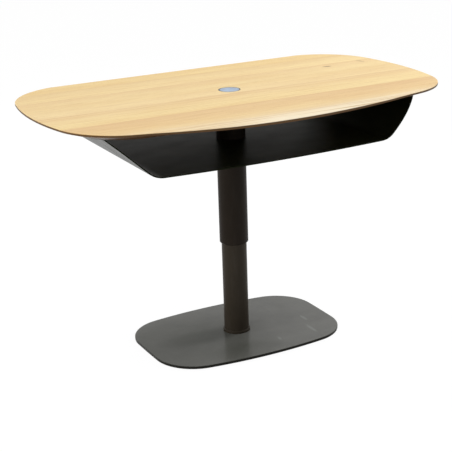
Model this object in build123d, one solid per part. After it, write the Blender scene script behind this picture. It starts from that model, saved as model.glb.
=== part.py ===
"""Height-adjustable coffee table: an oak board on a telescopic column with a gas spring, and a bent steel tray."""
import math
import os

from build123d import *

# Overall sizes, in millimetres. X runs along the board, Z is up, and the floor is at zero.
table_height = 706.0
overrun = 1.0
running_clearance = 0.05
seat_clearance = 0.1

# Tabletop: a barrel-shaped oak board whose long sides roll down to a thin edge.
top_half_length = 560.0
top_half_width = 340.0
top_end_radius = 825.0
top_corner_radius = 192.0
top_side_radius = 3300.0
top_thickness = 25.0
end_edge_height = 5.5
side_edge_height = 6.5
roll_width = 27.5
roll_blend_radius = 16.0
roll_angle = 31.0
undercut_inset = 56.0
side_undercut_inset = 58.0
undercut_reach = 6.0
top_edge_round = 1.2

# Release button in the middle of the board, in a cup that is let in flush.
bezel_radius = 30.0
bezel_lip_width = 2.9
bezel_lip_height = 3.0
bezel_wall = 1.5
bezel_depth = 16.0
bezel_floor = 3.0
bezel_chamfer = 0.4
button_travel = 4.0
button_flange = 2.0
button_flange_gap = 0.1
button_edge = 0.5
stem_radius = 4.0
spring_radius = 11.0
spring_wire = 0.8
spring_wire_width = 1.6
spring_turns = 3.0

# Plate that joins the column to the board.
plate_length = 300.0
plate_width = 200.0
plate_thickness = 5.0
plate_corner = 24.0
plate_screw_edge = 18.0
plate_slot_length = 90.0
plate_slot_width = 34.0

# Wood screws that hold the plate and the tray under the board.
screw_radius = 2.25
screw_head_radius = 4.6
screw_head_height = 2.8
screw_head_bevel = 1.2
screw_length = 14.0

# Tray: one bent sheet with a flat floor, ends that slope outwards and a flange at each end.
tray_depth = 108.0
tray_end_inset = 107.0
tray_slope = 1.06
tray_sheet = 3.0
tray_bend_radius = 58.0
tray_flange = 28.0
tray_flange_radius = 6.0
tray_inset = 64.0
tray_screw_spacing = 140.0
tray_hole_gap = 0.3

# Column: the outer tube moves with the board and the inner tube stands on the base.
outer_radius = 40.0
outer_wall = 2.5
tube_overlap = 125.0
head_room = 11.0
foot_room = 2.5
inner_radius = 35.0
inner_wall = 2.5
end_ring_height = 10.0
end_ring_chamfer = 2.4
lower_bush_length = 50.0
upper_bush_length = 48.0
upper_bush_cap = 2.0
upper_bush_lip = 4.0
key_width = 10.0
key_gap = 0.5
key_end_gap = 4.0
foot_ring_width = 3.2
foot_ring_height = 8.0
foot_ring_bevel = 2.4

# Lockable gas spring inside the column.
cylinder_radius = 14.0
cylinder_wall = 2.0
cylinder_drop = 10.0
cylinder_end = 8.0
gland_length = 20.0
gland_lip = 2.0
gland_chamfer = 0.8
stud_radius = 5.0
rod_radius = 5.0
rod_above_nut = 0.5
piston_length = 15.0
piston_groove_depth = 1.5
piston_groove_height = 4.0
piston_stop_gap = 0.2
pin_radius = 2.0
pin_above_rod = 5.0
pin_depth = 240.0
nut_flats = 17.0
nut_height = 6.0
nut_pocket_radius = 14.0

# Base: a flat steel plate on glides, screwed to a thick disc inside the foot of the column.
base_half_length = 280.0
base_half_width = 192.5
base_end_radius = 4000.0
base_corner_radius = 120.0
base_side_radius = 1250.0
base_thickness = 8.0
base_edge = 1.0
glide_height = 1.5
glide_radius = 15.0
glide_edge = 0.4
glide_inset = 40.0
plug_thickness = 22.0
plug_recess_radius = 11.0
plug_recess_depth = 8.0
stud_end_gap = 1.0
base_screw_radius = 4.0
base_screw_head = 7.6
base_screw_circle = 22.0
base_screw_count = 4
base_screw_length = 24.0

# Places that follow from the sizes above.
board_bottom = table_height - top_thickness
plate_bottom = board_bottom - plate_thickness
base_top = glide_height + base_thickness
plug_top = base_top + plug_thickness
outer_bore = outer_radius - outer_wall
inner_bore = inner_radius - inner_wall
lowest_ring = base_top + foot_ring_height + foot_room
lift_travel = (plate_bottom - head_room - lowest_ring - end_ring_height - tube_overlap) / 2
outer_tube_bottom = lowest_ring + lift_travel + end_ring_height
inner_tube_top = outer_tube_bottom + tube_overlap
lower_bush_top = outer_tube_bottom + lower_bush_length
bush_inner = inner_radius + running_clearance
bush_outer = outer_bore - running_clearance
cylinder_bore = cylinder_radius - cylinder_wall
cylinder_top = inner_tube_top - cylinder_drop
gland_bottom = cylinder_top - gland_length
piston_top = gland_bottom - piston_stop_gap
piston_bottom = piston_top - piston_length
rod_bore = rod_radius + running_clearance
rod_top = board_bottom + nut_height + rod_above_nut
pin_top = rod_top + pin_above_rod
pin_bottom = rod_top - pin_depth
bezel_bottom = table_height - bezel_depth
bezel_floor_top = bezel_bottom + bezel_floor
bezel_opening = bezel_radius - bezel_lip_width
bezel_bore = bezel_radius - bezel_wall
button_shoulder = table_height - bezel_lip_height - button_flange_gap
button_bottom = button_shoulder - button_flange
roll_start = top_half_width - roll_width
tray_floor_height = board_bottom - tray_depth
tray_bend_height = board_bottom - tray_sheet
tray_top_x = top_half_length - tray_end_inset
tray_half_floor = tray_top_x - tray_slope * (tray_bend_height - tray_floor_height)
top_sizes = (top_half_length, top_half_width, top_end_radius, top_corner_radius, top_side_radius)
base_sizes = (base_half_length, base_half_width, base_end_radius, base_corner_radius, base_side_radius)


def barrel_points(sizes, inset=0):
    """Where a quarter of a barrel outline joins: side arc to corner arc, corner middle, corner to end arc."""
    half_length, half_width, end_radius, corner_radius, side_radius = (size - inset for size in sizes)
    side_centre = Vector(0, half_width - side_radius)
    end_centre = Vector(half_length - end_radius, 0)
    to_side = side_radius - corner_radius
    to_end = end_radius - corner_radius
    reach = (end_centre - side_centre).length
    along = (to_side**2 - to_end**2 + reach**2) / (2 * reach)
    across = math.sqrt(to_side**2 - along**2)
    unit = (end_centre - side_centre).normalized()
    corner = side_centre + unit * along + Vector(unit.Y, -unit.X) * across
    side_way = (corner - side_centre).normalized()
    end_way = (corner - end_centre).normalized()
    middle_way = (side_way + end_way).normalized()
    return corner + side_way * corner_radius, corner + middle_way * corner_radius, corner + end_way * corner_radius


def barrel_face(sizes, inset=0):
    """Barrel outline of eight tangent arcs: flat arcs on the sides and ends, round ones at the corners."""
    half_length, half_width = sizes[0] - inset, sizes[1] - inset
    corners = []
    for across, up in ((1, 1), (1, -1), (-1, -1), (-1, 1)):
        corner = [(point.X * across, point.Y * up) for point in barrel_points(sizes, inset)]
        corners.append(corner if across == up else corner[::-1])
    middles = ((half_length, 0), (0, -half_width), (-half_length, 0), (0, half_width))
    arcs = []
    for index, corner in enumerate(corners):
        following = corners[(index + 1) % len(corners)]
        arcs.append(ThreePointArc(*corner))
        arcs.append(ThreePointArc(corner[-1], middles[index], following[0]))
    return make_face(arcs)


def disc(radius, low, high, spot=(0, 0)):
    """Upright round bar between two heights."""
    return Pos(spot[0], spot[1], low) * extrude(Circle(radius), high - low)


def turned(*points):
    """Solid of revolution about the column's axis, from points given as radius and height."""
    return revolve(Plane.XZ * make_face(Polyline(*points, close=True)), Axis.Z)


def hex_nut(low):
    """Nut on the column's axis, standing on the given height."""
    body = extrude(RegularPolygon(nut_flats / 2, 6, major_radius=False), nut_height)
    return Pos(0, 0, low) * (body - extrude(Circle(rod_bore), nut_height))


def roll_path():
    """Points of the rolled long side in the YZ plane: start, middle and end of the blend, and past the edge."""
    angle = math.radians(roll_angle)
    blend = [(roll_blend_radius * math.sin(turn), roll_blend_radius * (1 - math.cos(turn))) for turn in (angle / 2, angle)]
    points = [(roll_start + out, table_height - drop) for out, drop in [(0, 0)] + blend]
    reach = top_half_width + overrun - points[-1][0]
    return points + [(points[-1][0] + reach, points[-1][1] - reach * math.tan(angle))]


def side_roll():
    """Waste above the rolled long side."""
    start, middle, end, past = roll_path()
    above = table_height + overrun
    profile = [ThreePointArc(start, middle, end), Polyline(end, past, (past[0], above), (start[0], above), start)]
    return extrude(Plane.YZ * make_face(profile), top_half_length, both=True)


def undercut_section(place, inner, edge, height):
    """Triangle under the board in the YZ plane at the given X: from the flat underside out past the edge."""
    slope = (height - board_bottom) / (edge - inner)
    outer = edge + undercut_reach
    below = board_bottom - overrun
    points = [(inner, below), (inner, board_bottom), (outer, height + slope * undercut_reach), (outer, below)]
    return Plane.YZ.offset(place) * make_face(Polyline(*points, close=True))


def side_undercut():
    """Waste under a long side: a bevel that follows the rolled edge and runs out at the corners."""
    join = barrel_points(top_sizes)[0]
    past, rolled = roll_path()[-1]
    middle_height = rolled + (past - top_half_width) * math.tan(math.radians(roll_angle)) - side_edge_height
    end_height = table_height - end_edge_height
    ends = [undercut_section(side * join.X, join.Y - undercut_inset, join.Y, end_height) for side in (-1, 1)]
    middle = undercut_section(0, top_half_width - side_undercut_inset, top_half_width, middle_height)
    return loft([ends[0], middle, ends[1]])


def end_undercut():
    """Waste under an end and its corners: all that lies outside a bevel between two insets of the outline."""
    height = top_thickness - end_edge_height
    edge = Pos(0, 0, height) * barrel_face(top_sizes)
    bevel = loft([barrel_face(top_sizes, undercut_inset), edge], ruled=True)
    waste = extrude(barrel_face(top_sizes), height) - bevel
    join = barrel_points(top_sizes)[0].X
    length = top_half_length - join + overrun
    keep = Box(length, 2 * top_half_width, height, align=(Align.MIN, Align.CENTER, Align.MIN))
    return Pos(0, 0, board_bottom) * (waste & (Pos(join, 0, 0) * keep))


def plate_screw_spots():
    """Places of the mounting plate's screws: three along each short side."""
    x = plate_length / 2 - plate_screw_edge
    y = plate_width / 2 - plate_screw_edge
    return [(side * x, row * y) for side in (-1, 1) for row in (-1, 0, 1)]


def tray_screw_spots():
    """Places of the tray's screws: three along each end flange."""
    x = tray_top_x + (tray_flange + tray_flange_radius) / 2
    return [(side * x, row * tray_screw_spacing) for side in (-1, 1) for row in (-1, 0, 1)]


def wood_screws(spots, head_top):
    """Pan-head screws that hang below the given height and reach up into the board."""
    tip = screw_head_height + screw_length
    screw = turned(
        (0, 0), (screw_head_radius - screw_head_bevel, 0), (screw_head_radius, screw_head_bevel),
        (screw_head_radius, screw_head_height), (screw_radius, screw_head_height), (screw_radius, tip), (0, tip),
    )
    return [Pos(x, y, head_top - screw_head_height) * screw for x, y in spots]


def tabletop():
    """Oak board with rolled long sides, an undercut all round, the button's pocket and the screw holes."""
    board = Pos(0, 0, board_bottom) * extrude(barrel_face(top_sizes), top_thickness)
    board -= side_roll()
    board -= mirror(side_roll(), Plane.XZ)
    curved = board.edges().filter_by(GeomType.LINE, reverse=True)
    board = fillet(curved.filter_by_position(Axis.Z, board_bottom + overrun, table_height), top_edge_round)
    for tool, across in ((end_undercut(), Plane.YZ), (side_undercut(), Plane.XZ)):
        board -= tool
        board -= mirror(tool, across)
    board -= disc(bezel_radius + seat_clearance, bezel_bottom - seat_clearance, table_height + overrun)
    board -= disc(nut_pocket_radius, board_bottom - overrun, table_height)
    hole = screw_radius + seat_clearance
    for spot in plate_screw_spots() + tray_screw_spots():
        board -= disc(hole, board_bottom - overrun, board_bottom + screw_length, spot)
    return board


def button_bezel():
    """Cup in the board: a narrow lip that holds the button down, and a floor that guides its stem."""
    guide = stem_radius + running_clearance
    lip_bottom = table_height - bezel_lip_height
    return turned(
        (guide, bezel_bottom), (bezel_radius, bezel_bottom), (bezel_radius, table_height - bezel_chamfer),
        (bezel_radius - bezel_chamfer, table_height), (bezel_opening, table_height), (bezel_opening, lip_bottom),
        (bezel_bore, lip_bottom), (bezel_bore, bezel_floor_top), (guide, bezel_floor_top),
    )


def release_button():
    """Flat disc with a bevelled rim and a flange that stops under the bezel's lip."""
    rim = bezel_opening - running_clearance
    flange = bezel_bore - running_clearance
    return turned(
        (0, button_bottom), (flange, button_bottom), (flange, button_shoulder), (rim, button_shoulder),
        (rim, table_height - button_edge), (rim - button_edge, table_height), (0, table_height),
    )


def button_spring():
    """Coil spring of flat wire round the stem, between the bezel's floor and the button."""
    height = button_bottom - bezel_floor_top - spring_wire - 2 * seat_clearance
    path = Helix(height / spring_turns, height, spring_radius)
    wire = Plane(origin=path @ 0, x_dir=(1, 0, 0), z_dir=path % 0) * Rectangle(spring_wire_width, spring_wire)
    coil = sweep(wire, path=path, is_frenet=True)
    return Pos(0, 0, bezel_floor_top + spring_wire / 2 + seat_clearance) * coil


def mounting_plate():
    """Plate under the board with rounded corners, a slot each side of the column and the screw holes."""
    plate = Pos(0, 0, plate_bottom) * extrude(RectangleRounded(plate_length, plate_width, plate_corner), plate_thickness)
    slot_x = (outer_radius + plate_length / 2) / 2
    slot = Pos(0, 0, plate_bottom) * extrude(SlotOverall(plate_slot_length, plate_slot_width, rotation=90), plate_thickness)
    for side in (-1, 1):
        plate -= Pos(side * slot_x, 0, 0) * slot
    for spot in plate_screw_spots():
        plate -= disc(screw_radius + seat_clearance, plate_bottom, board_bottom, spot)
    return plate - disc(rod_bore, plate_bottom, board_bottom)


def offset_line(points, distance):
    """Corner points of a bent line moved sideways by the given distance, with its corners kept sharp."""
    ways = [(Vector(*b) - Vector(*a)).normalized() for a, b in zip(points, points[1:])]
    sides = [Vector(-way.Y, way.X) * distance for way in ways]
    moved = [Vector(*points[0]) + sides[0]]
    for corner, before, after in zip(points[1:-1], sides, sides[1:]):
        middle = (before + after).normalized()
        moved.append(Vector(*corner) + middle * (distance**2 / middle.dot(before)))
    return moved + [Vector(*points[-1]) + sides[-1]]


def tray_profile():
    """Section of the bent sheet along the table: flange, sloping end, floor, sloping end, flange."""
    right = [(tray_half_floor, tray_floor_height), (tray_top_x, tray_bend_height)]
    right.append((tray_top_x + tray_flange, tray_bend_height))
    lower = [Vector(-x, z) for x, z in right[::-1]] + [Vector(x, z) for x, z in right]
    lower = [(point.X, point.Y) for point in lower]
    upper = offset_line(lower, tray_sheet)
    lower_radii = [tray_flange_radius, tray_bend_radius, tray_bend_radius, tray_flange_radius]
    turns = [1, -1, -1, 1]
    upper_radii = [radius + turn * tray_sheet for radius, turn in zip(lower_radii, turns)]
    under = FilletPolyline(*lower, radius=lower_radii)
    over = FilletPolyline(*upper, radius=upper_radii)
    ends = [Line(under @ place, over @ place) for place in (0, 1)]
    return make_face([under, over] + ends)


def tray():
    """Bent steel sheet, trimmed to the board's outline drawn in, with a hole for the column."""
    sheet = extrude(Plane.XZ * tray_profile(), top_half_width, both=True)
    sheet &= Pos(0, 0, tray_floor_height) * extrude(barrel_face(top_sizes, tray_inset), board_bottom - tray_floor_height)
    sheet -= disc(outer_radius + tray_hole_gap, tray_floor_height, board_bottom)
    for spot in tray_screw_spots():
        sheet -= disc(screw_radius + seat_clearance, tray_bend_height - overrun, board_bottom + overrun, spot)
    return sheet


def outer_tube():
    """Upper tube, welded under the mounting plate."""
    return disc(outer_radius, outer_tube_bottom, plate_bottom) - disc(outer_bore, outer_tube_bottom, plate_bottom)


def inner_tube():
    """Lower tube, standing on the base plate."""
    return disc(inner_radius, base_top, inner_tube_top) - disc(inner_bore, base_top, inner_tube_top)


def lower_bush():
    """Glide bush in the mouth of the outer tube, with a bevelled end ring that shows below the tube."""
    ring_bottom = outer_tube_bottom - end_ring_height
    return turned(
        (bush_inner, ring_bottom), (outer_radius - end_ring_chamfer, ring_bottom),
        (outer_radius, ring_bottom + end_ring_chamfer), (outer_radius, outer_tube_bottom),
        (bush_outer, outer_tube_bottom), (bush_outer, lower_bush_top), (bush_inner, lower_bush_top),
    )


def upper_bush():
    """Glide bush on the top end of the inner tube, with a slot for the guide key."""
    cap_inner = inner_bore - upper_bush_lip
    cap_top = inner_tube_top + upper_bush_cap
    bottom = inner_tube_top - upper_bush_length
    bush = turned(
        (bush_inner, bottom), (bush_outer, bottom), (bush_outer, cap_top),
        (cap_inner, cap_top), (cap_inner, inner_tube_top), (bush_inner, inner_tube_top),
    )
    width = key_width + 2 * running_clearance
    slot = Box(width, outer_bore, upper_bush_length + 2 * overrun + upper_bush_cap, align=(Align.CENTER, Align.MIN, Align.MIN))
    return bush - Pos(0, inner_radius, bottom - overrun) * slot


def guide_key():
    """Flat bar along the bore of the outer tube, running in the upper bush's slot."""
    low = lower_bush_top + key_end_gap
    high = plate_bottom - key_end_gap
    ring = disc(bush_outer, low, high) - disc(inner_radius + key_gap, low, high)
    strip = Box(key_width, outer_bore, high - low, align=(Align.CENTER, Align.MIN, Align.MIN))
    return ring & (Pos(0, 0, low) * strip)


def foot_ring():
    """Bevelled collar round the foot of the inner tube."""
    top = base_top + foot_ring_height
    outer = inner_radius + foot_ring_width
    return turned(
        (bush_inner, base_top), (outer, base_top), (outer, top - foot_ring_bevel),
        (outer - foot_ring_bevel, top), (bush_inner, top),
    )


def base_screw_spots():
    """Places of the base screws, evenly round the column's axis."""
    turns = [2 * math.pi * (index + 1 / 2) / base_screw_count for index in range(base_screw_count)]
    return [(base_screw_circle * math.cos(turn), base_screw_circle * math.sin(turn)) for turn in turns]


def countersunk(low, grow):
    """Countersunk screw standing on its head, all round bigger by the given growth."""
    head, shank = base_screw_head + grow, base_screw_radius + grow
    head_top = low + head - shank
    return turned((0, low), (head, low), (shank, head_top), (shank, low + base_screw_length), (0, low + base_screw_length))


def foot_plug():
    """Steel disc inside the foot of the inner tube, with a pocket for the gas spring's nut."""
    plug = disc(inner_bore - running_clearance, base_top, plug_top)
    plug -= disc(plug_recess_radius, base_top, base_top + plug_recess_depth)
    plug -= disc(stud_radius + running_clearance, base_top, plug_top)
    hole_top = glide_height + base_screw_length + overrun
    for spot in base_screw_spots():
        plug -= disc(base_screw_radius + seat_clearance, base_top, hole_top, spot)
    return plug


def base_plate():
    """Flat steel plate with the board's barrel outline, a fine bevel all round and countersunk holes."""
    plate = Pos(0, 0, glide_height) * extrude(barrel_face(base_sizes), base_thickness)
    plate = chamfer(plate.faces().sort_by(Axis.Z)[-1].edges() + plate.faces().sort_by(Axis.Z)[0].edges(), base_edge)
    for x, y in base_screw_spots():
        plate -= Pos(x, y, 0) * countersunk(glide_height, seat_clearance)
    return plate


def base_screws():
    """Countersunk screws from below, flush with the underside of the base plate."""
    return [Pos(x, y, 0) * countersunk(glide_height, 0) for x, y in base_screw_spots()]


def base_glides():
    """Round pads under the four corners and the middles of the long sides."""
    corner = barrel_points(base_sizes, glide_inset)[1]
    side = base_half_width - glide_inset
    spots = [(across * corner.X, up * corner.Y) for across in (-1, 1) for up in (-1, 1)]
    spots += [(0, side), (0, -side)]
    pad = turned(
        (0, 0), (glide_radius - glide_edge, 0), (glide_radius, glide_edge), (glide_radius, glide_height), (0, glide_height)
    )
    return [Pos(x, y, 0) * pad for x, y in spots]


def gas_cylinder():
    """Pressure tube of the gas spring, closed at the bottom, with a stud through the foot plug."""
    floor = plug_top + cylinder_end
    stud_bottom = base_top + stud_end_gap
    return turned(
        (0, stud_bottom), (stud_radius, stud_bottom), (stud_radius, plug_top), (cylinder_radius, plug_top),
        (cylinder_radius, cylinder_top), (cylinder_bore, cylinder_top), (cylinder_bore, floor), (0, floor),
    )


def cylinder_gland():
    """Rod guide in the mouth of the cylinder, with a lip over its end."""
    body = cylinder_bore - running_clearance
    top = cylinder_top + gland_lip
    return turned(
        (rod_bore, gland_bottom), (body, gland_bottom), (body, cylinder_top), (cylinder_radius, cylinder_top),
        (cylinder_radius, top - gland_chamfer), (cylinder_radius - gland_chamfer, top), (rod_bore, top),
    )


def gas_piston():
    """Piston on the rod's lower end, with a groove for its ring."""
    body = cylinder_bore - running_clearance
    groove = body - piston_groove_depth
    groove_bottom = (piston_top + piston_bottom - piston_groove_height) / 2
    groove_top = groove_bottom + piston_groove_height
    return turned(
        (rod_bore, piston_bottom), (body, piston_bottom), (body, groove_bottom), (groove, groove_bottom),
        (groove, groove_top), (body, groove_top), (body, piston_top), (rod_bore, piston_top),
    )


def gas_rod():
    """Hollow rod of the gas spring, from the piston up through the mounting plate."""
    bore_bottom = pin_bottom - button_travel - overrun
    return disc(rod_radius, piston_bottom, rod_top) - disc(pin_radius + running_clearance, bore_bottom, rod_top)


nodes = {
    "tabletop": tabletop(),
    "button_bezel": button_bezel(),
    "release_button": release_button(),
    "button_stem": disc(stem_radius, pin_top, button_bottom),
    "button_spring": button_spring(),
    "release_pin": disc(pin_radius, pin_bottom, pin_top),
    "mounting_plate": mounting_plate(),
    "plate_screws": wood_screws(plate_screw_spots(), plate_bottom),
    "tray": tray(),
    "tray_screws": wood_screws(tray_screw_spots(), tray_bend_height),
    "outer_tube": outer_tube(),
    "lower_bush": lower_bush(),
    "upper_bush": upper_bush(),
    "guide_key": guide_key(),
    "inner_tube": inner_tube(),
    "foot_ring": foot_ring(),
    "foot_plug": foot_plug(),
    "base_plate": base_plate(),
    "base_screws": base_screws(),
    "base_glides": base_glides(),
    "gas_cylinder": gas_cylinder(),
    "cylinder_gland": cylinder_gland(),
    "cylinder_nut": hex_nut(base_top + plug_recess_depth - nut_height),
    "gas_piston": gas_piston(),
    "gas_rod": gas_rod(),
    "rod_nuts": [hex_nut(board_bottom), hex_nut(plate_bottom - nut_height)],
}

os.makedirs("parts", exist_ok=True)
for name, shape in nodes.items():
    group = Compound(children=shape) if isinstance(shape, list) else shape
    export_step(group, f"parts/{name}.step")
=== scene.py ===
"""Height-adjustable coffee table: finishes, small hardware and studio round the fixed frame."""
import math
import bpy
import numpy as np
from bpy.props import FloatProperty, FloatVectorProperty, PointerProperty
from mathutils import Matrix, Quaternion, Vector


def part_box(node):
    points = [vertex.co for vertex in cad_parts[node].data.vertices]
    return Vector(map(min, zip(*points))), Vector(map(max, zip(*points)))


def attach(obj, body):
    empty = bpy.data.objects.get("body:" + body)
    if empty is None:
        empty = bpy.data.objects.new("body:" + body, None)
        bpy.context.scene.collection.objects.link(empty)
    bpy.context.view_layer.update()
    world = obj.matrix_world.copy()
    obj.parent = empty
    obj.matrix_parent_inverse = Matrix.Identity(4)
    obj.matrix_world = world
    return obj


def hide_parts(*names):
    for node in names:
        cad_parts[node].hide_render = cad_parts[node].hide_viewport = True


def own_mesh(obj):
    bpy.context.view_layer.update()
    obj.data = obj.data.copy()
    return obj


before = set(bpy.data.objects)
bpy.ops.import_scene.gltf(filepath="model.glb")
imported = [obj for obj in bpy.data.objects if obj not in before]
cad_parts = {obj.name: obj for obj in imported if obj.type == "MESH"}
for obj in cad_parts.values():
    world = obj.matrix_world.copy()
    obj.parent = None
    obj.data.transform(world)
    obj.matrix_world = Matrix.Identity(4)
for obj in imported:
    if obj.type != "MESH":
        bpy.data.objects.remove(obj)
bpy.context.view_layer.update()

bl_info = {
    "name": "Height-adjustable coffee table",
    "version": (1, 0, 0),
    "blender": (4, 5, 0),
    "location": "View3D > Sidebar > Coffee table",
    "description": "Finishes, screws, weld and studio of an oak coffee table on a telescopic column",
    "category": "Object",
}

MM = 0.001

# The picture's width and height in pixels, and the width of the camera's sensor.
PICTURE_PIXELS = 452
SENSOR_MM = 36

# An edge of a piece stays crisp where its faces meet at more than this.
CREASE_DEGREES = 38

# Planks of the board from back to front: the place of each front edge in mm, the tone there and at the back.
PLANKS = (
    (243, "#F4D999", "#F4D999"),
    (146, "#F8E1A7", "#ECCE92"),
    (47, "#F4DBA1", "#EED097"),
    (-41, "#F5DCA4", "#F4DBA0"),
    (-173, "#F6DEA1", "#EED19A"),
    (-340, "#F0D398", "#E7C48C"),
)
BOARD_BACK_MM = 340
BOARD_SIDE_RADIUS_MM = 3300
SEAM_MM = 0.8

# How far the grain of one plank may be shifted against another's along X, Y and Z.
PLANK_SHIFT_MM = (3000, 400, 30)

# Before that shift, each trunk's middle lies at this place across the board, and below this height by the
# pith depth. Its rings change this many times as slowly along the board as across it.
PITH_Y_MM = 200
PITH_LEVEL_MM = 700
RING_STRETCH = 20

# A wave texture of scale 1 turns by this many radians in each unit of length.
WAVE_RATE = 20

# The knot and a smaller scar: half axes, the scar's place, and how far noise frays the outline, in half axes.
KNOT_HALF_MM = (13, 8)
KNOT_FRAY = 1.6
SCAR_MM = (500, 126)
SCAR_HALF_MM = (9, 22)
SCAR_FRAY = 1.8

# A soft spot is full inside the first reach and gone outside the second, both in half axes of its ellipse.
SPOT_FULL = 0.4
SPOT_GONE = 1.15

# Painted highlight on the front roll, a pale tone that stands in for the lamps' sheen: how deep it goes
# from the edge, the place along the board where it is strongest, how far it fades to either side, and its
# strength there, which is cut off at one to leave an even middle.
PAINTED_HIGHLIGHT_DEPTH_MM = 60
PAINTED_HIGHLIGHT_MIDDLE_MM = 70
PAINTED_HIGHLIGHT_FADE_MM = 480
PAINTED_HIGHLIGHT_PEAK = 1.25

# Marks on the base plate: place and half sizes in mm, share and colour. Three are dark patches of painted
# shadow, left of the column and in front of it; three are pale scuffs.
PALE_SCUFF = "#C4CBC6"
BASE_SHADOWS_AND_SCUFFS = (
    (-190, -30, 300, 230, 0.42, "#33352A"),
    (-115, 0, 130, 55, 0.35, "#2C2F22"),
    (-30, -150, 110, 70, 0.25, "#33352A"),
    (205, -30, 6, 26, 0.15, PALE_SCUFF),
    (184, -108, 6, 34, 0.15, PALE_SCUFF),
    (71, -122, 6, 13, 0.12, PALE_SCUFF),
)

# Noise frays a mark's outline by about this length, but by no more than its half axis.
FRAY_MM = 9

# A line of the brushing is this many times as long as it is wide.
BRUSH_STRETCH = 80

# The half width of a thread's ridge, in turns.
RIDGE_HALF = 0.3

# Half the floor's width, and how much brighter it glows for each share of shadow, so that it stays white
# round the shadow.
FLOOR_HALF_M = 12.0
FLOOR_GLOW = 0.4

# Lamps: name, place and target in metres, width in metres, setting of the power, whether surfaces mirror it.
LAMPS = (
    ("key_light", (-1.7, -0.9, 3.0), (0, 0, 0.6), 2.6, "key_power", True),
    ("sheen_light", (1.5, 0.4, 3.3), (0.1, -0.3, 0.7), 1.2, "sheen_power", True),
    ("right_light", (2.0, 0.28, 0.9), (0, 0, 0.1), 0.8, "right_power", False),
    ("left_light", (-3.2, 0.3, 0.36), (0, 0, 0.36), 0.6, "left_power", False),
)


def colour(code):
    """Turn an sRGB hex code into linear red, green, blue and alpha."""
    parts = [int(code[place:place + 2], 16) / 255 for place in (1, 3, 5)]
    linear = [part / 12.92 if part <= 0.04045 else ((part + 0.055) / 1.055) ** 2.4 for part in parts]
    return (*linear, 1.0)


def grey(level):
    """Neutral linear colour."""
    return (level, level, level, 1.0)


def tones(*stops):
    """Ramp stops from places and sRGB hex codes."""
    return [(place, colour(code)) for place, code in stops]


def greys(*stops):
    """Ramp stops from places and linear grey levels."""
    return [(place, grey(level)) for place, level in stops]


def metres(*millimetres):
    """Lengths in metres."""
    return tuple(length * MM for length in millimetres)


def colour_setting(name, description, code):
    """Colour that a user may change."""
    return FloatVectorProperty(
        name=name, description=description, default=colour(code), size=4, min=0, max=1, subtype="COLOR",
    )


def length_setting(name, description, millimetres):
    """Length that a user may change."""
    return FloatProperty(name=name, description=description, default=millimetres * MM, unit="LENGTH")


def share_setting(name, description, value):
    """Share between nothing and all that a user may change."""
    return FloatProperty(name=name, description=description, default=value, min=0, max=1, subtype="FACTOR")


def angle_setting(name, description, degrees):
    """Angle that a user may change."""
    return FloatProperty(name=name, description=description, default=math.radians(degrees), subtype="ANGLE")


def pixel_setting(name, description, pixels):
    """Measure in the picture that a user may change."""
    return FloatProperty(name=name, description=description, default=pixels, subtype="PIXEL")


def power_setting(name, description, watts):
    """Power of a lamp that a user may change."""
    return FloatProperty(name=name, description=description, default=watts, unit="POWER")


class BoardSettings(bpy.types.PropertyGroup):
    """Grain of the oak board."""

    ring_spacing: length_setting("Ring spacing", "Distance between two growth rings", 7)
    pith_depth: length_setting("Pith depth", "How far below the board the middle of each trunk lay", 60)
    fibre_width: length_setting("Fibre width", "Width of a bundle of fibres, coarse so that it shows", 2.2)
    fibre_length: length_setting("Fibre length", "Length of a bundle of fibres", 90)
    pore_width: length_setting("Pore width", "Width of an open pore, coarse so that it shows", 0.9)
    pore_length: length_setting("Pore length", "Length of an open pore", 16)
    # Edge and undercut: a brown stain, darkened further with painted shade.
    edge_tone: colour_setting("Edge tone", "Stained narrow edge", "#52360F")
    undercut_tone: colour_setting("Undercut tone", "Stained slope under the edge", "#4A2F12")
    # Painted highlight: a pale tone on the rolled front edge that stands in for the lamps' sheen.
    painted_highlight_tone: colour_setting("Sapwood tone", "Pale wood along the rolled front edge", "#FCF2D9")
    knot_tone: colour_setting("Knot tone", "Middle of the knot", "#8A6238")
    knot_x: length_setting("Knot X", "Place of the knot along the board", 379)
    knot_y: length_setting("Knot Y", "Place of the knot across the board", 113)
    roughness: share_setting("Roughness", "Blur of the satin lacquer", 0.46)


class CoatSettings(bpy.types.PropertyGroup):
    """Colours of the coated and bare metal."""

    tray: colour_setting("Tray", "Powder coat of the tray", "#171A0F")
    tray_gloss: colour_setting("Tray gloss", "Olive tint of the tray's gloss", "#F0FFC8")
    upper_tube: colour_setting("Upper tube", "Powder coat of the outer tube", "#241E18")
    lower_tube: colour_setting("Lower tube", "Powder coat of the inner tube", "#342E26")
    base: colour_setting("Base", "Powder coat of the base plate", "#7E7E7A")
    # Near-black tint for the upright cut edge of the base plate.
    base_edge: colour_setting("Base edge", "Thin coat on the cut edge of the base plate", "#1D1C18")
    button: colour_setting("Button", "Brushed steel of the release button", "#ADC5E1")
    rim: colour_setting("Rim", "Dark anodised ring round the button", "#1A1612")
    grit: length_setting("Grit", "Grain of the powder coat, coarser than real so that it shows", 1.2)


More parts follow.
